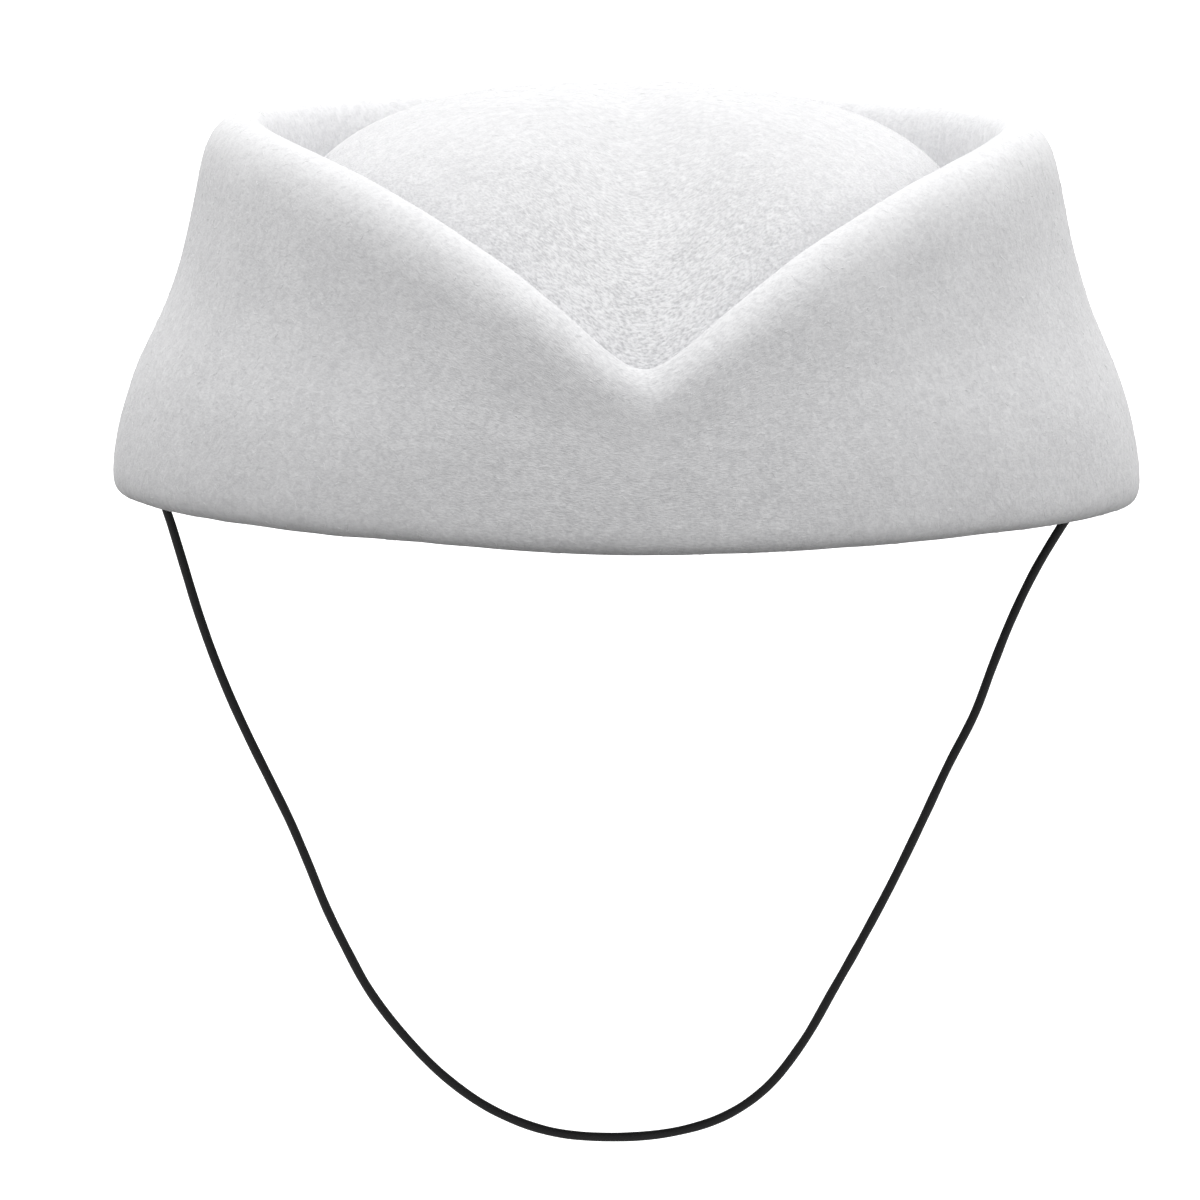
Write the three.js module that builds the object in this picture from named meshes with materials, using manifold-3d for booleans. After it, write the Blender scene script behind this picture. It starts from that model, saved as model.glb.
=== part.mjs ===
// Stewardess pillbox hat: a shell of white blocked wool felt, with a black elastic chin cord.
//
// The felt is one piece. A domed crown runs down into a moat, the felt rises from the moat to a
// rounded rim, folds over, and comes down outside as the cuff, whose foot is turned under. The rim
// drops to a V notch in front. The cord's ends come up through two holes in the turned-under edge
// and are stopped there by knots, and the rest of the cord hangs below in one loop.
//
// Millimetres. The origin is the middle of the head opening, in the plane of the base. +Z is up,
// -Y is the front, where the notch is, and +X is to the right of someone facing the hat.

import * as THREE from "three";
import { mergeVertices } from "three/addons/utils/BufferGeometryUtils.js";
import Module from "manifold-3d";

// ---- Driving sizes ------------------------------------------------------------------------------

const feltThickness = 2.2;

// Heights above the base plane.
const crownHeight = 82.6;
const notchHeight = 33;
const sideRimHeight = 75;
const backRimHeight = 76;
const cuffFootHeight = 10; // the cuff flares out down to here, and turns under below it
const frontDip = 1.7; // the base is this much lower in front than at the sides and back

// The moat between crown and cuff, down from the rim.
const notchMoatDepth = 6;
const sideMoatDepth = 21;

// The notch: the rim climbs from it as 1 - (1 - angle / quarter turn) ^ notchSteepness.
const notchSteepness = 2.15;
const notchRounding = THREE.MathUtils.degToRad(5.5);

// The front half of the hat is drawn in from a plain oval, by this share at the very front.
const prow = 0.25;

// The crown droops towards the notch as cos(angle) ^ droopSharpness.
const droopSharpness = 10;

const cordDiameter = 1.8;
const cordHoleDiameter = 2.8;
const cordHoles = { left: -90, right: 87.4 };
const knotDiameter = 5;
const clearance = 0.3;

// How finely the felt is cut into facets.
const stepsAround = 60;
const stepsPerFold = 2;
const frontCrowding = 0.5; // the facets at the notch are narrower than average by this share

// ---- Heights around the hat ---------------------------------------------------------------------
// Each is a function of the angle around the hat: 0 at the front, a quarter turn at +X.

const mix = (from, to, share) => from + (to - from) * share;

const isFront = (angle) => Math.cos(angle) > 0;

// How far the rim has climbed out of the notch: 0 at the notch, 1 at the sides and behind them.
function climb(angle) {
  const rounded = Math.hypot(angle, notchRounding) - notchRounding;
  return 1 - (1 - Math.min(rounded / (Math.PI / 2), 1)) ** notchSteepness;
}

function rimUp(angle) {
  const behind = isFront(angle) ? 0 : Math.cos(angle) ** 2;
  return mix(notchHeight, mix(sideRimHeight, backRimHeight, behind), climb(angle));
}

function moatUp(angle) {
  return rimUp(angle) - mix(notchMoatDepth, sideMoatDepth, climb(angle));
}

function baseUp(angle) {
  return isFront(angle) ? frontDip * Math.sin(angle) ** 2 : frontDip;
}

const crownDrop = (side, front) => (angle) =>
  crownHeight - mix(side, front, Math.max(Math.cos(angle), 0) ** droopSharpness);
const rimPlus = (atNotch, atSide) => (angle) => rimUp(angle) + mix(atNotch, atSide, climb(angle));
const cuffRise = (share) => (angle) => mix(baseUp(angle) + cuffFootHeight, rimUp(angle), share);
const basePlus = (above) => (angle) => baseUp(angle) + above;

// ---- The felt's section -------------------------------------------------------------------------
// One row for each fold, from the middle of the crown to the cut edge inside the base. side, front
// and back are how far the row stands from the hat's axis, and up is its height. They are the
// control points of a B-spline, so the felt passes a little inside each of them.

const folds = [
  { name: "crown middle", side: 0, front: 0, back: 0, up: crownDrop(0, 0) },
  { name: "crown flat", side: 19, front: 26, back: 24, up: crownDrop(0, 2) },
  { name: "crown cap", side: 35, front: 48, back: 46, up: crownDrop(2, 9) },
  { name: "crown shoulder", side: 52, front: 70, back: 60.5, up: crownDrop(8.2, 21.5) },
  { name: "crown side", side: 63.5, front: 87.5, back: 72, up: crownDrop(17.8, 38) },
  { name: "moat inner corner", side: 66.5, front: 97, back: 76, up: moatUp },
  { name: "moat outer corner", side: 70.5, front: 98.7, back: 80, up: moatUp },
  { name: "cuff lining", side: 71.5, front: 99, back: 82, up: (a) => mix(moatUp(a), rimUp(a), 0.5) },
  { name: "rim inner edge", side: 71, front: 99, back: 83, up: rimPlus(-1.3, -2.4) },
  { name: "rim top", side: 72.8, front: 102.1, back: 86, up: rimPlus(1.9, 1.8) },
  { name: "rim outer edge", side: 78.5, front: 106.7, back: 91, up: rimPlus(-0.5, 1) },
  { name: "rim shoulder", side: 82, front: 109.1, back: 94.2, up: rimPlus(-3.4, -3.2) },
  { name: "cuff top", side: 83.6, front: 109.9, back: 95.6, up: rimPlus(-7, -10.8) },
  { name: "cuff neck", side: 86.7, front: 110.2, back: 97.5, up: cuffRise(0.6) },
  { name: "cuff waist", side: 90.2, front: 110.6, back: 100.5, up: cuffRise(0.42) },
  { name: "cuff flare", side: 97.3, front: 111.4, back: 107, up: cuffRise(0.21) },
  { name: "cuff foot", side: 100.5, front: 112, back: 110, up: basePlus(5.5) },
  { name: "foot corner", side: 99.2, front: 111.8, back: 109.3, up: basePlus(0.6) },
  { name: "turned-under edge", side: 93.5, front: 106, back: 103, up: basePlus(-0.6) },
  { name: "cut edge", side: 83, front: 95.5, back: 93, up: basePlus(1) },
];

// Where a fold's control point stands at an angle around the hat.
function foldPoint(fold, angle) {
  const ahead = Math.cos(angle);
  const depth = ahead > 0 ? fold.front : fold.back;
  const drawnIn = ahead > 0 ? 1 - prow * ahead * ahead : 1;
  return new THREE.Vector3(fold.side * drawnIn * Math.sin(angle), -depth * ahead, fold.up(angle));
}

// The point of a uniform cubic B-spline, at a place counted in folds. Its ends are the end folds.
function feltPoint(angle, place) {
  const last = folds.length - 1;
  const point = (k) => {
    if (k < 0) return foldPoint(folds[0], angle).multiplyScalar(2).sub(foldPoint(folds[1], angle));
    if (k > last) {
      return foldPoint(folds[last], angle).multiplyScalar(2).sub(foldPoint(folds[last - 1], angle));
    }
    return foldPoint(folds[k], angle);
  };
  const k = Math.min(Math.floor(place), last - 1);
  const t = place - k;
  const weights = [(1 - t) ** 3, 3 * t ** 3 - 6 * t ** 2 + 4, -3 * t ** 3 + 3 * t ** 2 + 3 * t + 1, t ** 3];
  const sum = new THREE.Vector3();
  weights.forEach((weight, i) => sum.addScaledVector(point(k - 1 + i), weight / 6));
  return sum;
}

// The felt's outward direction, from two short steps along its surface.
function feltNormal(angle, place) {
  const step = 1e-3;
  const outwards = place + step > folds.length - 1 ? -step : step;
  const here = feltPoint(angle, place);
  const along = feltPoint(angle, place + outwards).sub(here).multiplyScalar(Math.sign(outwards));
  const around = feltPoint(angle + step, place).sub(here);
  return along.cross(around).normalize();
}

// ---- Felt body ----------------------------------------------------------------------------------

function closedGeometry(positions, triangles) {
  const geometry = new THREE.BufferGeometry();
  geometry.setAttribute("position", new THREE.Float32BufferAttribute(positions, 3));
  geometry.setIndex(triangles);
  return geometry;
}

// The outer skin's rings, then the inner skin's, one felt thickness below. Each skin starts at a
// point in the middle of the crown, and the two meet at the cut edge.
function feltGeometry() {
  const rings = (folds.length - 1) * stepsPerFold;
  const positions = [];
  for (const depth of [0, feltThickness]) {
    positions.push(0, 0, crownHeight - depth);
    for (let ring = 1; ring <= rings; ring++) {
      for (let step = 0; step < stepsAround; step++) {
        const turn = (2 * Math.PI * step) / stepsAround;
        const even = turn > Math.PI ? turn - 2 * Math.PI : turn;
        const angle = even - frontCrowding * Math.sin(even);
        const place = ring / stepsPerFold;
        const point = feltPoint(angle, place).addScaledVector(feltNormal(angle, place), -depth);
        positions.push(point.x, point.y, point.z);
      }
    }
  }

  const skinSize = 1 + rings * stepsAround;
  const triangles = [];
  const add = (a, b, c, facing) => triangles.push(...(facing > 0 ? [a, b, c] : [a, c, b]));
  for (const [start, facing] of [[0, 1], [skinSize, -1]]) {
    const at = (ring, step) => start + 1 + (ring - 1) * stepsAround + (step % stepsAround);
    for (let step = 0; step < stepsAround; step++) {
      add(start, at(1, step), at(1, step + 1), facing);
      for (let ring = 1; ring < rings; ring++) {
        add(at(ring, step), at(ring + 1, step), at(ring + 1, step + 1), facing);
        add(at(ring, step), at(ring + 1, step + 1), at(ring, step + 1), facing);
      }
    }
  }
  for (let step = 0; step < stepsAround; step++) {
    const outer = (s) => 1 + (rings - 1) * stepsAround + (s % stepsAround);
    const inner = (s) => skinSize + outer(s);
    add(outer(step), inner(step), inner(step + 1), 1);
    add(outer(step), inner(step + 1), outer(step + 1), 1);
  }
  return closedGeometry(positions, triangles);
}

const wasm = await Module();
wasm.setup();

function toSolid(geometry) {
  const bare = geometry.clone();
  bare.deleteAttribute("normal");
  bare.deleteAttribute("uv");
  const merged = mergeVertices(bare, 1e-5);
  const mesh = new wasm.Mesh({
    numProp: 3,
    vertProperties: new Float32Array(merged.attributes.position.array),
    triVerts: new Uint32Array(merged.index.array),
  });
  return new wasm.Manifold(mesh);
}

function fromSolid(solid) {
  const mesh = solid.getMesh();
  return closedGeometry(Array.from(mesh.vertProperties), Array.from(mesh.triVerts));
}

// A round punch that stands on end through the turned-under edge and stops short of the moat.
function holePunch(x) {
  const punchHeight = 14;
  const punch = new THREE.CylinderGeometry(cordHoleDiameter / 2, cordHoleDiameter / 2, punchHeight, 16);
  punch.rotateX(Math.PI / 2);
  punch.translate(x, 0, baseUp(Math.PI / 2));
  return punch;
}

function feltWithHoles() {
  let felt = toSolid(feltGeometry());
  for (const x of Object.values(cordHoles)) felt = felt.subtract(toSolid(holePunch(x)));
  return fromSolid(felt);
}

// ---- Chin cord and its knots --------------------------------------------------------------------
// The cord hangs in the plane through the two holes. Each row is x and z, from the left knot down
// to the lowest point and up to the right knot.

const cordRoute = [
  [-90, 4.2], [-90, 1.8], [-89.8, 0], [-88.5, -4], [-86, -12.1], [-83.5, -20.2], [-80.5, -28.7],
  [-77, -37.3], [-73, -45.9], [-69, -53.9], [-65, -62], [-61.5, -70.1], [-58, -78.6],
  [-54, -86.7], [-49.5, -94.8], [-43, -103.3], [-34.5, -111.9], [-25, -118.4], [-14, -122.5],
  [-2, -123.6], [10.4, -122.5], [20.4, -119.3], [28.4, -113.7], [35.4, -104.8], [41.4, -94.2],
  [46.9, -84.2], [52.4, -73.6], [57.9, -62], [63.4, -49.9], [68.4, -39.8], [71.9, -30.2],
  [75.4, -21.2], [79.9, -11.6], [84.9, -3], [87.1, 0.4], [87.4, 1.7], [87.4, 4.3],
];
const cordSteps = 80;
const cordSides = 8;

function cordGeometry() {
  const route = new THREE.CatmullRomCurve3(cordRoute.map(([x, z]) => new THREE.Vector3(x, 0, z)));
  const ring = new THREE.Shape();
  ring.absarc(0, 0, cordDiameter / 2, 0, 2 * Math.PI);
  return new THREE.ExtrudeGeometry(ring, {
    steps: cordSteps,
    curveSegments: cordSides / 2, // a full circle gets twice this many points
    bevelEnabled: false,
    extrudePath: route,
  });
}

// A plain stop knot, which stands on the end of the cord inside the hat.
function knotAt([x, z]) {
  const knot = new THREE.SphereGeometry(knotDiameter / 2, 20, 12);
  knot.translate(x, 0, z + clearance + knotDiameter / 2);
  return knot;
}

// ---- The hat ------------------------------------------------------------------------------------

const whiteFelt = { color: 0xf4f4f5, roughness: 0.95, metalness: 0 };
const blackElastic = { color: 0x161617, roughness: 0.7, metalness: 0 };

const hat = new THREE.Group();
hat.name = "pillbox_hat";

function addPiece(name, geometry, finish) {
  const piece = new THREE.Mesh(geometry, new THREE.MeshStandardMaterial(finish));
  piece.name = name;
  hat.add(piece);
}

addPiece("felt_body", feltWithHoles(), whiteFelt);
addPiece("chin_cord", cordGeometry(), blackElastic);
addPiece("cord_knot_left", knotAt(cordRoute[0]), blackElastic);
addPiece("cord_knot_right", knotAt(cordRoute.at(-1)), blackElastic);

export default hat;
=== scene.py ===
"""A stewardess's pillbox hat: a shell of white blocked wool felt, with a black elastic chin cord.

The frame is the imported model's, in metres: +Z is up, -Y is the front, where the notch is, and the
origin is the middle of the head opening, in the plane of the base.
"""

import math

import bmesh
import bpy
import numpy as np
from mathutils import Matrix, Vector, noise


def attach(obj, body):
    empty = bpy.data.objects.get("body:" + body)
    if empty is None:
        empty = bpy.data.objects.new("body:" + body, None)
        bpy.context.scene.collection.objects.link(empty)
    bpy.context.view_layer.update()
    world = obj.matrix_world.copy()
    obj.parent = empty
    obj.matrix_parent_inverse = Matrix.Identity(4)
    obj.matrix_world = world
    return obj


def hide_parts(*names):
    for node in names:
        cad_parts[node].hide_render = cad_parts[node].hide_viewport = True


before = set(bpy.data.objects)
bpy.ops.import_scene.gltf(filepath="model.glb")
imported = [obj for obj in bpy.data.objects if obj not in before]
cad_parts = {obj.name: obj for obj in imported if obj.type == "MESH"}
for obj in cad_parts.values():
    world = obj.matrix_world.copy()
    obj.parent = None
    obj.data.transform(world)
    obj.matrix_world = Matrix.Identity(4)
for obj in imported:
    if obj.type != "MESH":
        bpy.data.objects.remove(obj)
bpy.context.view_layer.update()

MM = 0.001
FULL_TURN = 2 * math.pi

# ---- Camera ---------------------------------------------------------------------------------------

CAMERA_DISTANCE = 2.0  # from the hat's axis
CAMERA_HEIGHT = 0.160
CAMERA_TURN = 1.7  # degrees: the notch points this far to the right of the camera
CAMERA_ROLL = 0.5  # degrees: the hat's right side hangs this much lower in the picture
CAMERA_REACH = 200  # well past the far side of the paper
VIEW_WIDTH = 0.2340  # what the picture takes in, across, at the hat's axis
VIEW_MIDDLE = (-0.0050, -0.0180)  # right of the axis, and up from the base


def set_up_camera():
    turn = math.radians(CAMERA_TURN)
    ahead = Vector((math.sin(turn), math.cos(turn), 0))
    right = Vector((math.cos(turn), -math.sin(turn), 0))
    spot = -CAMERA_DISTANCE * ahead + Vector((0, 0, CAMERA_HEIGHT))
    target = VIEW_MIDDLE[0] * right + Vector((0, 0, VIEW_MIDDLE[1]))
    line = target - spot
    camera = bpy.data.objects.new("camera", bpy.data.cameras.new("camera"))
    camera.data.lens = camera.data.sensor_width * line.length / VIEW_WIDTH
    camera.data.clip_end = CAMERA_REACH
    aim = line.to_track_quat("-Z", "Y").to_matrix().to_4x4()
    roll = Matrix.Rotation(math.radians(CAMERA_ROLL), 4, "Z")
    camera.matrix_world = Matrix.Translation(spot) @ aim @ roll
    bpy.context.scene.collection.objects.link(camera)
    bpy.context.scene.camera = camera


set_up_camera()

# ---- Nodes and colours ----------------------------------------------------------------------------

MATHS = "ShaderNodeMath"
NOISE = "ShaderNodeTexNoise"
RANGE = "ShaderNodeMapRange"  # its inputs in order: value, from low, from high, to low, to high
JOIN_XYZ = "ShaderNodeCombineXYZ"
SPLIT_XYZ = "ShaderNodeSeparateXYZ"
SHADER = "ShaderNodeBsdfPrincipled"


def linear(hex_colour):
    """An sRGB hex colour as linear red, green, blue and alpha."""
    parts = [int(hex_colour[i : i + 2], 16) / 255 for i in (1, 3, 5)]
    return [c / 12.92 if c <= 0.04045 else ((c + 0.055) / 1.055) ** 2.4 for c in parts] + [1]


def add_node(tree, kind, inputs=(), **settings):
    """Adds a node with its settings and its inputs, which are given by name or else in order.

    An input is a number, a colour, or what it is linked to: a socket, or a node, which stands for
    the first of its outputs that is in use.
    """
    node = tree.nodes.new(kind)
    for name, value in settings.items():
        setattr(node, name, value)
    pairs = inputs.items() if isinstance(inputs, dict) else enumerate(inputs)
    for key, value in pairs:
        if isinstance(value, bpy.types.Node):
            value = next(output for output in value.outputs if output.enabled)
        if isinstance(value, bpy.types.NodeSocket):
            tree.links.new(value, node.inputs[key])
        else:
            node.inputs[key].default_value = value
    return node


def new_material(name):
    material = bpy.data.materials.new(name)
    material.use_nodes = True
    material.node_tree.nodes.clear()
    return material, material.node_tree


# ---- Chin cord: its line --------------------------------------------------------------------------

CORD_DIAMETER = 1.8 * MM
CORD_HOLE_DIAMETER = 2.8 * MM
CORD_STEP = 0.8 * MM

# x and z in millimetres, in the plane through the two holes, from the left knot down to the lowest
# point and up to the right knot.
CORD_ROUTE = [
    (-90, 4.2), (-90, 1.8), (-89.8, 0), (-88.5, -4), (-86, -12.1), (-83.5, -20.2), (-80.5, -28.7),
    (-77, -37.3), (-73, -45.9), (-69, -53.9), (-65, -62), (-61.5, -70.1), (-58, -78.6),
    (-54, -86.7), (-49.5, -94.8), (-43, -103.3), (-34.5, -111.9), (-25, -118.4), (-14, -122.5),
    (-2, -123.6), (10.4, -122.5), (20.4, -119.3), (28.4, -113.7), (35.4, -104.8), (41.4, -94.2),
    (46.9, -84.2), (52.4, -73.6), (57.9, -62), (63.4, -49.9), (68.4, -39.8), (71.9, -30.2),
    (75.4, -21.2), (79.9, -11.6), (84.9, -3), (87.1, 0.4), (87.4, 1.7), (87.4, 4.3),
]  # fmt: skip


def smooth_line(points, spacing, fine_steps=40):
    """A centripetal Catmull-Rom curve through the points, cut into even steps, and its length."""
    points = np.array(points, float)
    points = np.vstack([2 * points[0] - points[1], points, 2 * points[-1] - points[-2]])
    pieces = []
    for a, b, c, d in zip(points, points[1:], points[2:], points[3:]):
        knots = np.cumsum([0] + [np.linalg.norm(q - p) ** 0.5 for p, q in ((a, b), (b, c), (c, d))])
        t = np.linspace(knots[1], knots[2], fine_steps, endpoint=False)[:, None]

        def between(p, q, i, j):
            return ((knots[j] - t) * p + (t - knots[i]) * q) / (knots[j] - knots[i])

        ab, bc, cd = between(a, b, 0, 1), between(b, c, 1, 2), between(c, d, 2, 3)
        pieces.append(between(between(ab, bc, 0, 2), between(bc, cd, 1, 3), 1, 2))
    fine = np.vstack(pieces + [points[-2:-1]])
    run = np.r_[0, np.cumsum(np.linalg.norm(np.diff(fine, axis=0), axis=1))]
    even = np.linspace(0, run[-1], round(run[-1] / spacing) + 1)
    return np.stack([np.interp(even, run, fine[:, i]) for i in range(3)], axis=1), run[-1]


cord_line, CORD_LENGTH = smooth_line([(x * MM, 0, z * MM) for x, z in CORD_ROUTE], CORD_STEP)

# ---- Felt: heights around the hat -----------------------------------------------------------------
# Millimetres. Each function takes angles around the hat: 0 at the front, a quarter turn at +X.

FELT_THICKNESS = 2.2
CROWN_HEIGHT = 82.6
NOTCH_HEIGHT = 33.0
SIDE_RIM_HEIGHT = 75.0
BACK_RIM_HEIGHT = 76.0
CUFF_FOOT_HEIGHT = 10.0  # above the base's edge: where the cuff's rise to the rim is counted from
FRONT_DIP = 1.7  # how much lower the base's edge is in the middle of the front
NOTCH_MOAT_DEPTH = 6.0  # from the rim down to the floor between crown and cuff
SIDE_MOAT_DEPTH = 21.0
NOTCH_STEEPNESS = 2.15  # more makes the notch a narrower V
NOTCH_ROUNDING = math.radians(5.5)  # how far to each side the notch's point is rounded
PROW = 0.25  # share by which the front narrows towards its middle, like a ship's prow
DROOP_SHARPNESS = 10  # more keeps the crown's droop nearer the middle of the front


def mix(start, end, share):
    return start + (end - start) * share


def climb(angle):
    """How far the rim has climbed out of the notch: 0 at the notch, 1 at the sides and behind."""
    rounded = np.hypot(angle, NOTCH_ROUNDING) - NOTCH_ROUNDING
    return 1 - (1 - np.minimum(rounded / (np.pi / 2), 1)) ** NOTCH_STEEPNESS


def rim_up(angle):
    behind = np.where(np.cos(angle) > 0, 0, np.cos(angle) ** 2)
    return mix(NOTCH_HEIGHT, mix(SIDE_RIM_HEIGHT, BACK_RIM_HEIGHT, behind), climb(angle))


def moat_up(angle):
    return rim_up(angle) - mix(NOTCH_MOAT_DEPTH, SIDE_MOAT_DEPTH, climb(angle))


def lining_up(angle):
    return mix(moat_up(angle), rim_up(angle), 0.5)


def base_up(angle):
    return np.where(np.cos(angle) > 0, FRONT_DIP * np.sin(angle) ** 2, FRONT_DIP)


def droop(angle):
    """0 at the sides and behind, and 1 in the middle of the front, where the crown drops most."""
    return np.maximum(np.cos(angle), 0) ** DROOP_SHARPNESS


def crown_drop(side, front):
    return lambda angle: CROWN_HEIGHT - mix(side, front, droop(angle))


def cuff_rise(share):
    return lambda angle: mix(base_up(angle) + CUFF_FOOT_HEIGHT, rim_up(angle), share)


def rim_plus(at_notch, at_side):
    return lambda angle: rim_up(angle) + mix(at_notch, at_side, climb(angle))


def base_plus(above):
    return lambda angle: base_up(angle) + above


# Name, how far it stands from the axis at the side, in front and behind, and its height: one row
# for each fold, from the crown's middle to the cut edge inside the base. They are the control
# points of a B-spline.
FOLDS = [
    ("crown middle", 0, 0, 0, crown_drop(0, 0)),
    ("crown flat", 19, 26, 24, crown_drop(0, 2)),
    ("crown cap", 35, 48, 46, crown_drop(2, 9)),
    ("crown shoulder", 52, 70, 60.5, crown_drop(8.2, 21.5)),
    ("crown side", 63.5, 87.5, 72, crown_drop(17.8, 38)),
    ("moat inner corner", 66.5, 97, 76, moat_up),
    ("moat outer corner", 70.5, 98.7, 80, moat_up),
    ("cuff lining", 71.5, 99, 82, lining_up),
    ("rim inner edge", 71, 99, 83, rim_plus(-1.3, -2.4)),
    ("rim top", 72.8, 102.1, 86, rim_plus(1.9, 1.8)),
    ("rim outer edge", 78.5, 106.7, 91, rim_plus(-0.5, 1)),
    ("rim shoulder", 82, 109.1, 94.2, rim_plus(-3.4, -3.2)),
    ("cuff top", 83.6, 109.9, 95.6, rim_plus(-7, -10.8)),
    ("cuff neck", 86.7, 110.2, 97.5, cuff_rise(0.6)),
    ("cuff waist", 90.2, 110.6, 100.5, cuff_rise(0.42)),
    ("cuff flare", 97.3, 111.4, 107, cuff_rise(0.21)),
    ("cuff foot", 100.5, 112, 110, base_plus(5.5)),
    ("foot corner", 99.2, 111.8, 109.3, base_plus(0.6)),
    ("turned-under edge", 93.5, 106, 103, base_plus(-0.6)),
    ("cut edge", 83, 95.5, 93, base_plus(1)),
]


def fold_row(fold, angle):
    _, side, front, back, up = fold
    ahead = np.cos(angle)
    depth = np.where(ahead > 0, front, back)
    drawn_in = np.where(ahead > 0, 1 - PROW * ahead**2, 1)
    return np.stack([side * drawn_in * np.sin(angle), -depth * ahead, up(angle) + 0 * angle], axis=-1)


def felt_skin(angles, places):
    """Points of the felt's outer skin, in millimetres: one ring for each place counted in folds."""
    rows = [fold_row(fold, angles) for fold in FOLDS]
    rows = [2 * rows[0] - rows[1], *rows, 2 * rows[-1] - rows[-2]]
    rings = []
    for place in places:
        k = min(max(math.floor(place), 0), len(FOLDS) - 2)
        t = place - k
        weights = [(1 - t) ** 3, 3 * t**3 - 6 * t**2 + 4, -3 * t**3 + 3 * t**2 + 3 * t + 1, t**3]
        rings.append(sum(w * row for w, row in zip(weights, rows[k : k + 4])) / 6)
    return np.array(rings)


# ---- Felt: both skins of the blocked shell --------------------------------------------------------

STEPS_AROUND = 240
STEPS_PER_FOLD = 8
FRONT_CROWDING = 0.4  # draws the steps around the hat together in front, where the notch is

# How far the felt swells in or out, in millimetres, and over about what distance.
BLOCKING_UNEVENNESS = ((0.35, 26), (0.12, 9))
CUT_EDGE_ROUNDING = 0.35  # millimetres


def length_of(vectors):
    return np.linalg.norm(vectors, axis=-1, keepdims=True)


def unevenness(point):
    return sum(size * noise.noise(Vector(point) / reach) for size, reach in BLOCKING_UNEVENNESS)


def blocked_rings():
    """The outer skin's rings and outward directions, uneven as felt is when it is blocked by hand."""
    even = FULL_TURN * np.arange(STEPS_AROUND) / STEPS_AROUND
    even = np.where(even > np.pi, even - FULL_TURN, even)
    angles = even - FRONT_CROWDING * np.sin(even)
    last = len(FOLDS) - 1
    places = np.arange(1, last * STEPS_PER_FOLD + 1) / STEPS_PER_FOLD
    rings = felt_skin(angles, places)
    nudge = 1e-3
    along = felt_skin(angles, places + nudge) - felt_skin(angles, places - nudge)
    around = felt_skin(angles + nudge, places) - felt_skin(angles - nudge, places)
    outwards = np.cross(along, around)
    outwards /= length_of(outwards)
    lift = np.array([unevenness(point) for point in rings.reshape(-1, 3)])
    return rings + outwards * lift.reshape(rings.shape[:2] + (1,)), outwards


def run_lengths(rings, first_pole, last_pole):
    """How far along the skin each ring is, on average around the hat."""
    steps = [length_of(rings[0] - first_pole).mean()]
    steps += [length_of(step).mean() for step in np.diff(rings, axis=0)]
    steps += [length_of(rings[-1] - last_pole).mean()]
    return np.r_[0, np.cumsum(steps)]


outer, outwards = blocked_rings()
inner = outer - FELT_THICKNESS * outwards
past_edge = outer[-1] - outer[-2]
edge_middle = (outer[-1] + inner[-1]) / 2 + CUT_EDGE_ROUNDING * past_edge / length_of(past_edge)
skin = np.concatenate([outer, edge_middle[None], inner[::-1]]) * MM
crown_middle = outer[0].mean(axis=0) * MM
skin_poles = crown_middle, crown_middle - np.array([0, 0, FELT_THICKNESS * MM])
skin_run = run_lengths(skin, *skin_poles)
SECTION_LENGTH = skin_run[-1]


def share_at(fold_name):
    """How far along the skin a fold is, as a share of the whole."""
    fold = [row[0] for row in FOLDS].index(fold_name)
    return skin_run[fold * STEPS_PER_FOLD] / SECTION_LENGTH


# From where to where along the skin each of these sets in, as shares of the whole.
CROWN_SIDE = (share_at("crown cap"), share_at("crown side"))
MOAT = (share_at("moat outer corner"), share_at("cuff lining"))
RIM_INSIDE = (share_at("cuff lining"), share_at("rim top"))
RIM_OUTSIDE = (share_at("rim shoulder"), share_at("cuff top"))

# ---- Materials ------------------------------------------------------------------------------------

DASH_LENGTH = 0.8 * MM
DASH_WIDTH = 0.36 * MM
FELT_RELIEF = 0.12 * MM  # how high a pattern's height of 1 is
BRAID_THREADS = 8  # each way round the cord
BRAID_CROSSING = 0.9 * MM  # from one crossing to the next, along the cord
BRAID_RELIEF = 0.06 * MM


def curled_fibres(tree, here, width, thinness, bend):
    """Thin curls of wool: the lines along which a pattern is halfway between low and high.

    Single fibres are some 0.03 mm thick, too fine to show, so the curls are drawn as coarse as they
    need to show.
    """
    pattern = {"Vector": here, "Scale": 1 / width, "Detail": 2, "Distortion": bend}
    middle = add_node(tree, MATHS, [add_node(tree, NOISE, pattern), 0.5], operation="SUBTRACT")
    off_line = add_node(tree, MATHS, [middle], operation="ABSOLUTE")
    off_line = add_node(tree, MATHS, [off_line, thinness], operation="MULTIPLY")
    return add_node(tree, MATHS, [1, off_line], operation="SUBTRACT", use_clamp=True)


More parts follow.
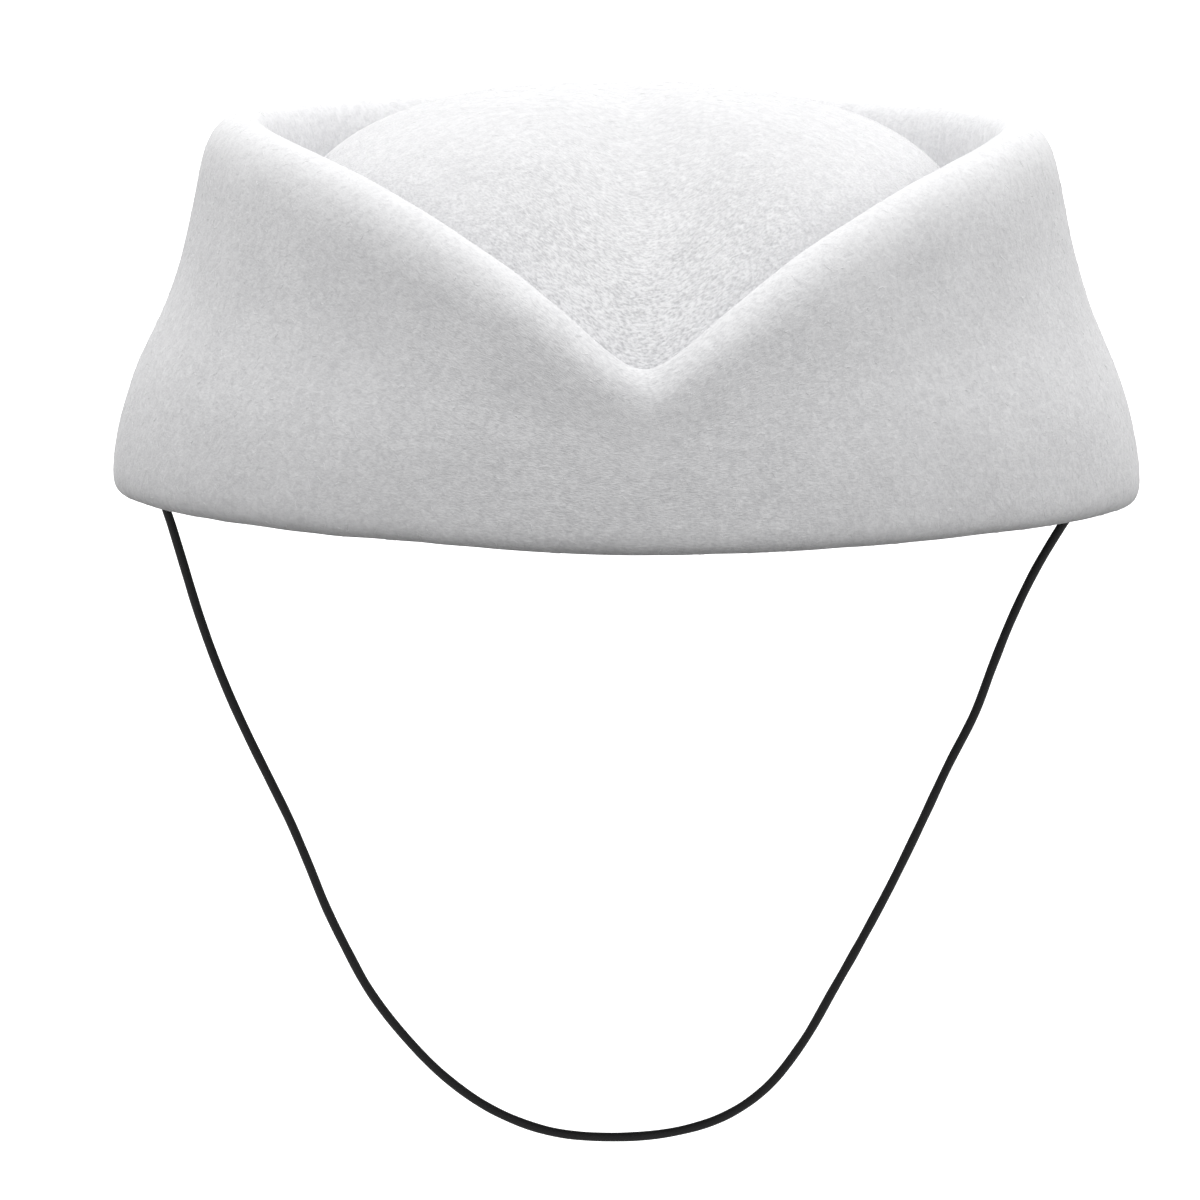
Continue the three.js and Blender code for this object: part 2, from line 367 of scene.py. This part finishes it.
def brushed_dashes(tree, at, uv):
    """Dashes that lie around the hat, strongest low on the crown's front."""
    parts = {
        "X": add_node(tree, MATHS, [at["X"], DASH_LENGTH], operation="DIVIDE"),
        "Y": add_node(tree, MATHS, [at["Y"], DASH_LENGTH], operation="DIVIDE"),
        "Z": add_node(tree, MATHS, [uv["Y"], SECTION_LENGTH / DASH_WIDTH], operation="MULTIPLY"),
    }
    stretched = add_node(tree, JOIN_XYZ, parts)
    pattern = add_node(tree, NOISE, {"Vector": stretched, "Scale": 1, "Detail": 2})
    dashes = add_node(tree, MATHS, [pattern, 0.5], operation="SUBTRACT")
    turn = add_node(tree, MATHS, [uv["X"], FULL_TURN], operation="MULTIPLY")
    forward = add_node(tree, MATHS, [turn], operation="COSINE")
    # Weaker on the crown's cap and past the moat, and strongest in front.
    strengths = [
        add_node(tree, RANGE, [uv["Y"], *CROWN_SIDE, 0.3, 1]),
        add_node(tree, RANGE, [uv["Y"], *MOAT, 1, 0.5]),
        add_node(tree, RANGE, [forward, 0.5, 0.95, 0.7, 1.5]),
    ]
    for strength in strengths:
        dashes = add_node(tree, MATHS, [dashes, strength], operation="MULTIPLY")
    return dashes


def painted_rim_highlight(tree, at, uv):
    """1 on the rim's roll, fading out into the notch: a painted highlight, whiter felt standing in
    for the light from above that the roll catches.
    """
    onto_roll = add_node(tree, RANGE, [uv["Y"], *RIM_INSIDE])
    past_roll = add_node(tree, RANGE, [uv["Y"], *RIM_OUTSIDE])
    roll = add_node(tree, MATHS, [onto_roll, past_roll], operation="SUBTRACT")
    sideways = add_node(tree, MATHS, [at["X"]], operation="ABSOLUTE")
    beside_notch = add_node(tree, RANGE, [sideways, 4 * MM, 22 * MM])
    return add_node(tree, MATHS, [roll, beside_notch], operation="MULTIPLY")


def fulled_wool_felt():
    """White wool felt, fulled, blocked over steam and brushed.

    The fulling mats the wool into a dense skin of tufts and curled fibres, which gives a dead matt,
    slightly mottled white with a soft bright nap at grazing angles. Brushing round the block leaves
    short dashes that lie around the hat, most of all on the crown's side. The rim's roll is painted
    a little whiter: a painted highlight for the light from above that the roll catches.
    """
    material, tree = new_material("fulled_wool_felt")
    place = add_node(tree, "ShaderNodeTexCoord").outputs
    here = place["Object"]
    at = add_node(tree, SPLIT_XYZ, [here]).outputs
    uv = add_node(tree, SPLIT_XYZ, [place["UV"]]).outputs

    long_curls = curled_fibres(tree, here, width=1.7 * MM, thinness=22, bend=0.8)
    short_curls = curled_fibres(tree, here, width=0.8 * MM, thinness=12, bend=0.5)
    curls = add_node(tree, MATHS, [long_curls, short_curls], operation="ADD")
    tufted = {"Vector": here, "Scale": 1 / (1.5 * MM), "Detail": 2, "Distortion": 0.6}
    tufts = add_node(tree, MATHS, [add_node(tree, NOISE, tufted), 0.5], operation="SUBTRACT")
    dashes = brushed_dashes(tree, at, uv)
    lumps = add_node(tree, NOISE, {"Vector": here, "Scale": 1 / (4.5 * MM), "Detail": 2})
    mottled = {"Vector": here, "Scale": 1 / (14 * MM), "Detail": 3}
    mottle = add_node(tree, RANGE, [add_node(tree, NOISE, mottled), 0.3, 0.7])
    rim_highlight = painted_rim_highlight(tree, at, uv)

    # Each pattern, how high it stands, and how much whiter it makes the wool.
    patterns = [
        (curls, 0.125, 0.015),
        (lumps, 1.2, 0),
        (tufts, 1.8, 0.24),
        (dashes, 2.2, 0.52),
        (mottle, 0, 0.035),
        # The rim's painted highlight: the roll is made whiter in place of the light it catches from
        # above.
        (rim_highlight, 0, 0.06),
    ]
    height = 0
    whiteness = 0
    for pattern, rise, whitening in patterns:
        height = add_node(tree, MATHS, [pattern, rise, height], operation="MULTIPLY_ADD")
        whiteness = add_node(tree, MATHS, [pattern, whitening, whiteness], operation="MULTIPLY_ADD")
    bump = {"Height": height, "Strength": 0.6, "Distance": FELT_RELIEF}
    tone = add_node(tree, RANGE, [whiteness, -0.18, 0.12])
    tones = {"Factor": tone, "A": linear("#cdcdcf"), "B": linear("#f4f4f5")}
    wool = {
        "Base Color": add_node(tree, "ShaderNodeMix", tones, data_type="RGBA"),
        "Roughness": 0.95,
        "Diffuse Roughness": 0.8,
        "Specular IOR Level": 0.15,
        "Sheen Weight": 0.12,
        "Sheen Roughness": 0.6,
        "Normal": add_node(tree, "ShaderNodeBump", bump),
    }
    add_node(tree, "ShaderNodeOutputMaterial", {"Surface": add_node(tree, SHADER, wool)})
    return material


def loose_wool_fibre():
    """Single white wool fibres that have worked out of the felt: clean, bright and slightly silky."""
    material, tree = new_material("loose_wool_fibre")
    fibre = {
        "Base Color": linear("#fafafb"),
        "Roughness": 0.7,
        "Specular IOR Level": 0.4,
        "Sheen Weight": 0.2,
    }
    add_node(tree, "ShaderNodeOutputMaterial", {"Surface": add_node(tree, SHADER, fibre)})
    return material


def braided_black_elastic():
    """Round elastic: a rubber core in a braided sheath of black polyester thread.

    The braid gives small satin diamonds that catch the light one by one, over a deep black.
    """
    material, tree = new_material("braided_black_elastic")
    place = add_node(tree, "ShaderNodeTexCoord").outputs
    uv = add_node(tree, SPLIT_XYZ, [place["UV"]]).outputs
    crossings = CORD_LENGTH / BRAID_CROSSING
    around = add_node(tree, MATHS, [uv["X"], BRAID_THREADS * math.pi], operation="MULTIPLY")
    along = add_node(tree, MATHS, [uv["Y"], crossings * math.pi], operation="MULTIPLY")
    threads = []
    for way in ("ADD", "SUBTRACT"):
        wave = add_node(tree, MATHS, [around, along], operation=way)
        wave = add_node(tree, MATHS, [wave], operation="SINE")
        threads.append(add_node(tree, MATHS, [wave], operation="ABSOLUTE"))
    braid = add_node(tree, MATHS, threads, operation="MAXIMUM")
    bump = {"Height": braid, "Strength": 0.8, "Distance": BRAID_RELIEF}
    wear = {"Vector": place["Object"], "Scale": 1 / (1.2 * MM), "Detail": 2}
    worn = add_node(tree, MATHS, [add_node(tree, NOISE, wear), braid], operation="MULTIPLY")
    tones = {"Factor": worn, "A": linear("#040405"), "B": linear("#131314")}
    sheath = {
        "Base Color": add_node(tree, "ShaderNodeMix", tones, data_type="RGBA"),
        "Roughness": 0.6,
        "Specular IOR Level": 0.2,
        "Sheen Weight": 0.03,
        "Normal": add_node(tree, "ShaderNodeBump", bump),
    }
    add_node(tree, "ShaderNodeOutputMaterial", {"Surface": add_node(tree, SHADER, sheath)})
    return material


# ---- Meshes ---------------------------------------------------------------------------------------


def mesh_object(name, points, faces, corner_uv, material):
    mesh = bpy.data.meshes.new(name)
    mesh.from_pydata(np.asarray(points).tolist(), [], faces)
    layer = mesh.uv_layers.new(name="UVMap")
    layer.data.foreach_set("uv", np.asarray(corner_uv, np.float32).ravel())
    mesh.polygons.foreach_set("use_smooth", [True] * len(mesh.polygons))
    mesh.materials.append(material)
    mesh.validate()
    piece = bpy.data.objects.new(name, mesh)
    bpy.context.scene.collection.objects.link(piece)
    return piece


def ringed_mesh(name, rings, first_pole, last_pole, lengths, material):
    """A closed skin over rings of points, with a pole at each end.

    lengths says how far along the skin each ring is, the poles included, and becomes the UV's V.
    """
    count, around = rings.shape[:2]
    points = np.vstack([first_pole, rings.reshape(-1, 3), last_pole])
    lengths = np.asarray(lengths) / lengths[-1]
    faces = []
    corner_uv = []
    for j in range(around):
        k = (j + 1) % around
        left, right = j / around, (j + 1) / around
        middle = (left + right) / 2
        faces.append((0, 1 + j, 1 + k))
        corner_uv += [(middle, lengths[0]), (left, lengths[1]), (right, lengths[1])]
        for i in range(count - 1):
            above, below = 1 + i * around, 1 + (i + 1) * around
            faces.append((above + j, below + j, below + k, above + k))
            top, bottom = lengths[i + 1], lengths[i + 2]
            corner_uv += [(left, top), (left, bottom), (right, bottom), (right, top)]
        last = 1 + (count - 1) * around
        faces.append((last + j, len(points) - 1, last + k))
        corner_uv += [(left, lengths[-2]), (middle, lengths[-1]), (right, lengths[-2])]
    return mesh_object(name, points, faces, corner_uv, material)


# ---- Chin cord and its knots ----------------------------------------------------------------------

CORD_SIDES = 16
SHEATH_UNEVENNESS = 0.05  # share of the diameter
SHEATH_SWELL = 5 * MM  # how long a thicker place is
END_DOME = 0.12  # share of the diameter by which a tube's end bulges
END_RUN = 0.1 * MM  # how much of the braid's length goes over each end

KNOT_SIDES = 12
KNOT_STEPS = 90
KNOT_TAIL = 2.05  # how far the knotted curve runs each way from its middle, in its own units
KNOT_WIDTH = 0.8  # millimetres for each of those units, across the knot
KNOT_DEPTH = 0.155  # and through it
KNOT_STAND = 2.65 * MM  # from the cord's end up to the knot's middle
KNOT_THREAD = 1.55 * MM  # thinner than the cord, because the knot is pulled tight


def tube(name, line, diameters, sides, material):
    """A tube round a line of points, with domed ends."""
    ahead = np.gradient(line, axis=0)
    ahead /= length_of(ahead)
    not_along = (0.3, 1.0, 0.2)
    across = np.cross(ahead[0], not_along)
    turn = FULL_TURN * np.arange(sides) / sides
    rings = []
    for point, forward, diameter in zip(line, ahead, diameters):
        across = across - forward * (across @ forward)
        across /= np.linalg.norm(across)
        side = np.cross(forward, across)
        ring = np.outer(np.cos(turn), across) + np.outer(np.sin(turn), side)
        rings.append(point + ring * diameter / 2)
    rings = np.array(rings)[:, ::-1]
    first_end = line[0] - ahead[0] * diameters[0] * END_DOME
    last_end = line[-1] + ahead[-1] * diameters[-1] * END_DOME
    run = np.r_[0, np.cumsum(np.linalg.norm(np.diff(line, axis=0), axis=1))]
    lengths = np.r_[0, run + END_RUN, run[-1] + 2 * END_RUN]
    return ringed_mesh(name, rings, first_end, last_end, lengths, material)


elastic = braided_black_elastic()


def chin_cord():
    """The sheath is a little thicker in some places than in others."""
    swell = np.array([noise.noise(Vector(point) / SHEATH_SWELL) for point in cord_line])
    diameters = CORD_DIAMETER * (1 + SHEATH_UNEVENNESS * swell)
    return tube("chin_cord_elastic", cord_line, diameters, CORD_SIDES, elastic)


def stop_knot(name, cord_end):
    """An overhand knot pulled tight, which stands on the cord's end, with a short cut tail.

    The simplest curve with such a knot in it has powers of 3, 4 and 5 in its three directions.
    """
    t = np.linspace(-KNOT_TAIL, KNOT_TAIL, KNOT_STEPS)[:, None]
    x = KNOT_WIDTH * (t**3 - 3 * t)
    y = KNOT_WIDTH * (t**4 - 4 * t**2 + 2)
    z = KNOT_DEPTH * (t**5 - 10 * t)
    middle = np.array([cord_end[0], cord_end[1], cord_end[2] + KNOT_STAND])
    line = np.hstack([x, y, z]) * MM + middle
    return tube(name, line, np.full(len(line), KNOT_THREAD), KNOT_SIDES, elastic)


cord = chin_cord()
knots = [
    stop_knot("stop_knot_left", cord_line[0]),
    stop_knot("stop_knot_right", cord_line[-1]),
]

# ---- Felt: the shell with its cord holes, and its nap ---------------------------------------------

HOLE_SIZES = {
    "Hole diameter": CORD_HOLE_DIAMETER,
    "Left hole": float(cord_line[0][0]),
    "Right hole": float(cord_line[-1][0]),
    "Punch length": 14 * MM,
}
FIBRE_SIZES = {
    "Fibres per square metre": 80000.0,
    "Fibre length": 1.3 * MM,
    "Fibre thickness": 0.06 * MM,
    "Arch height": 0.05 * MM,
    "Smallest scale": 0.5,
    "Largest scale": 1.3,
    "Seed": 11,
}
ANGLE_SEED = 5
SCALE_SEED = 9

felt_material = fulled_wool_felt()


def new_geometry_tree(name, sizes):
    """A Geometry Nodes tree with a mesh in, a mesh out, and an input named for each of the sizes."""
    tree = bpy.data.node_groups.new(name, "GeometryNodeTree")
    tree.interface.new_socket("Mesh", in_out="INPUT", socket_type="NodeSocketGeometry")
    tree.interface.new_socket("Mesh", in_out="OUTPUT", socket_type="NodeSocketGeometry")
    for size_name, size in sizes.items():
        kind = "NodeSocketInt" if isinstance(size, int) else "NodeSocketFloat"
        tree.interface.new_socket(size_name, in_out="INPUT", socket_type=kind)
    return tree, add_node(tree, "NodeGroupInput").outputs


def made_by(tree, piece, sizes):
    """Runs the tree on the piece and leaves the result in it as a plain mesh."""
    modifier = piece.modifiers.new(tree.name, "NODES")
    modifier.node_group = tree
    for item in tree.interface.items_tree:
        if item.in_out == "INPUT" and item.name in sizes:
            modifier[item.identifier] = sizes[item.name]
    graph = bpy.context.evaluated_depsgraph_get()
    made = bpy.data.meshes.new_from_object(piece.evaluated_get(graph), depsgraph=graph)
    material = piece.data.materials[0]
    made.materials.clear()
    made.materials.append(material)
    made.polygons.foreach_set("material_index", [0] * len(made.polygons))
    piece.modifiers.remove(modifier)
    piece.data = made
    made.name = piece.name
    return piece


def cord_holes_tree(material):
    """Punches the two round holes that the chin cord comes up through."""
    tree, given = new_geometry_tree("cord_holes", HOLE_SIZES)
    radius = add_node(tree, MATHS, [given["Hole diameter"], 0.5], operation="MULTIPLY")
    rod = {"Vertices": 32, "Radius": radius, "Depth": given["Punch length"]}
    punch = add_node(tree, "GeometryNodeMeshCylinder", rod)
    punches = add_node(tree, "GeometryNodeJoinGeometry")
    for hole in ("Left hole", "Right hole"):
        spot = add_node(tree, JOIN_XYZ, {"X": given[hole]})
        moved = add_node(tree, "GeometryNodeTransform", {"Geometry": punch, "Translation": spot})
        tree.links.new(moved.outputs[0], punches.inputs[0])
    both = {"Mesh 1": given["Mesh"], "Mesh 2": punches}
    cut = add_node(tree, "GeometryNodeMeshBoolean", both, operation="DIFFERENCE", solver="EXACT")
    real = add_node(tree, "GeometryNodeRealizeInstances", [cut])
    finish = {"Geometry": real, "Material": material}
    add_node(tree, "NodeGroupOutput", {"Mesh": add_node(tree, "GeometryNodeSetMaterial", finish)})
    return tree


def felt_shell():
    """The whole felt, outside, cut edge and inside, with the cord's holes through it."""
    shell = ringed_mesh("felt_shell", skin, *skin_poles, skin_run, felt_material)
    return made_by(cord_holes_tree(felt_material), shell, HOLE_SIZES)


def curved_fibre(tree, given):
    """One fibre: a thread with a slight S bend that arches up from the felt, as a thin tube."""

    def thread_point(ahead, aside, up):
        """A point of the thread, as shares of the fibre's length and of its arch."""
        length = given["Fibre length"]
        shares = ((length, ahead), (length, aside), (given["Arch height"], up))
        parts = [add_node(tree, MATHS, pair, operation="MULTIPLY") for pair in shares]
        return add_node(tree, JOIN_XYZ, parts)

    thread = {
        "Resolution": 4,
        "Start": thread_point(-0.5, 0.0, -0.3),
        "Start Handle": thread_point(-0.25, 0.22, 1.3),
        "End Handle": thread_point(0.15, -0.28, 1.2),
        "End": thread_point(0.5, 0.06, 0.1),
    }
    radius = add_node(tree, MATHS, [given["Fibre thickness"], 0.5], operation="MULTIPLY")
    section = {"Resolution": 3, "Radius": radius}
    fibre = {
        "Curve": add_node(tree, "GeometryNodeCurvePrimitiveBezierSegment", thread),
        "Profile Curve": add_node(tree, "GeometryNodeCurvePrimitiveCircle", section),
        "Fill Caps": True,
    }
    return add_node(tree, "GeometryNodeCurveToMesh", fibre)


def loose_fibres_tree(material):
    """Scatters short curved fibres over the felt, lying on it at any angle."""
    tree, given = new_geometry_tree("loose_fibres", FIBRE_SIZES)
    scatter = {
        "Mesh": given["Mesh"],
        "Density": given["Fibres per square metre"],
        "Seed": given["Seed"],
    }
    spots = add_node(tree, "GeometryNodeDistributePointsOnFaces", scatter).outputs
    angles = {"Min": 0, "Max": FULL_TURN, "Seed": ANGLE_SEED}
    angle = add_node(tree, "FunctionNodeRandomValue", angles, data_type="FLOAT")
    upright = {"Axis": (0, 0, 1), "Angle": angle}
    spun = {
        "Rotation": spots["Rotation"],
        "Rotate By": add_node(tree, "FunctionNodeAxisAngleToRotation", upright),
    }
    scales = {"Min": given["Smallest scale"], "Max": given["Largest scale"], "Seed": SCALE_SEED}
    laid = {
        "Points": spots["Points"],
        "Instance": curved_fibre(tree, given),
        "Rotation": add_node(tree, "FunctionNodeRotateRotation", spun, rotation_space="LOCAL"),
        "Scale": add_node(tree, "FunctionNodeRandomValue", scales, data_type="FLOAT"),
    }
    fibres = add_node(tree, "GeometryNodeInstanceOnPoints", laid)
    real = add_node(tree, "GeometryNodeRealizeInstances", [fibres])
    finish = {"Geometry": real, "Material": material}
    add_node(tree, "NodeGroupOutput", {"Mesh": add_node(tree, "GeometryNodeSetMaterial", finish)})
    return tree


def open_below(mesh, last_pole):
    """Takes away the faces that close a skin at its last pole."""
    shape = bmesh.new()
    shape.from_mesh(mesh)
    shape.verts.ensure_lookup_table()
    bmesh.ops.delete(shape, geom=[shape.verts[last_pole]], context="VERTS")
    shape.to_mesh(mesh)
    shape.free()


def felt_nap():
    """Loose fibres over the outer skin, which is all that shows from outside the hat."""
    rings = skin[: len(outer)]
    lengths = skin_run[: len(outer) + 2]
    fibre_material = loose_wool_fibre()
    nap = ringed_mesh("felt_nap", rings, skin_poles[0], skin_poles[0], lengths, fibre_material)
    open_below(nap.data, last_pole=len(nap.data.vertices) - 1)
    return made_by(loose_fibres_tree(fibre_material), nap, FIBRE_SIZES)


felt = felt_shell()
nap = felt_nap()

# ---- Floor and light ------------------------------------------------------------------------------

PAPER_SIDES = 96
PAPER_PROFILE = ((40, -0.2), (48, 1.5), (50, 12))  # radius and height, from the floor's edge up
LIGHT_FROM_ABOVE = 1.3
LIGHT_FROM_BELOW = 0.15
SKYLINE = 0.25  # how far below and above the horizon the light from below gives way


def lit_paper_sweep():
    """Matt white paper, evenly lit: a floor well below the cord and a low wall far away round it."""
    material, tree = new_material("lit_matt_white_paper")
    paper = {
        "Base Color": linear("#f4f4f4"),
        "Roughness": 0.9,
        "Emission Color": linear("#ffffff"),
        "Emission Strength": 0.5,
    }
    add_node(tree, "ShaderNodeOutputMaterial", {"Surface": add_node(tree, SHADER, paper)})
    turn = FULL_TURN * np.arange(PAPER_SIDES) / PAPER_SIDES
    circle = np.stack([np.sin(turn), -np.cos(turn), 0 * turn], axis=1)
    rings = [circle * radius + np.array([0, 0, up]) for radius, up in PAPER_PROFILE]
    faces = [tuple(range(PAPER_SIDES))]
    for i in range(len(rings) - 1):
        lower, upper = i * PAPER_SIDES, (i + 1) * PAPER_SIDES
        for j in range(PAPER_SIDES):
            k = (j + 1) % PAPER_SIDES
            faces.append((lower + j, upper + j, upper + k, lower + k))
    mesh = bpy.data.meshes.new("paper_sweep")
    mesh.from_pydata(np.vstack(rings).tolist(), [], faces)
    mesh.materials.append(material)
    sweep = bpy.data.objects.new("paper_sweep", mesh)
    # The hat's light from below is the studio's own, and the lamps stand inside the sweep.
    sweep.visible_diffuse = False
    sweep.visible_shadow = False
    bpy.context.scene.collection.objects.link(sweep)


def soft_light(name, azimuth, elevation, strength, spread):
    """Even light from a wide patch of sky: azimuth 0 is the front and 90 the right, in degrees."""
    lamp = bpy.data.lights.new(name, "SUN")
    lamp.energy = strength
    lamp.angle = math.radians(spread)
    a, e = math.radians(azimuth), math.radians(elevation)
    towards = Vector((math.sin(a) * math.cos(e), -math.cos(a) * math.cos(e), math.sin(e)))
    light = bpy.data.objects.new(name, lamp)
    light.matrix_world = towards.to_track_quat("Z", "Y").to_matrix().to_4x4()
    bpy.context.scene.collection.objects.link(light)


def studio():
    """A big bright tent, a softbox high over the crown, and a little more light from the right."""
    world = bpy.data.worlds.new("studio")
    world.use_nodes = True
    tree = world.node_tree
    tree.nodes.clear()
    place = add_node(tree, "ShaderNodeTexCoord").outputs
    up = add_node(tree, SPLIT_XYZ, [place["Generated"]]).outputs["Z"]
    level = add_node(tree, RANGE, [up, -SKYLINE, SKYLINE, LIGHT_FROM_BELOW, LIGHT_FROM_ABOVE])
    glow = add_node(tree, "ShaderNodeBackground", {"Strength": level})
    add_node(tree, "ShaderNodeOutputWorld", {"Surface": glow})
    bpy.context.scene.world = world
    soft_light("softbox_above", azimuth=0, elevation=88, strength=0.8, spread=30)
    soft_light("softbox_right", azimuth=90, elevation=15, strength=0.3, spread=60)
    soft_light("softbox_left", azimuth=-90, elevation=15, strength=0.05, spread=60)
    bpy.context.scene.view_settings.view_transform = "Standard"


lit_paper_sweep()
studio()

# ---- Put together ---------------------------------------------------------------------------------

for piece, node, slot_name in (
    (felt, "felt_body", "white_felt"),
    (cord, "chin_cord", "black_elastic"),
    (knots[0], "cord_knot_left", "black_elastic"),
    (knots[1], "cord_knot_right", "black_elastic"),
):
    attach(piece, "root")
    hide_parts(node)
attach(nap, "root")
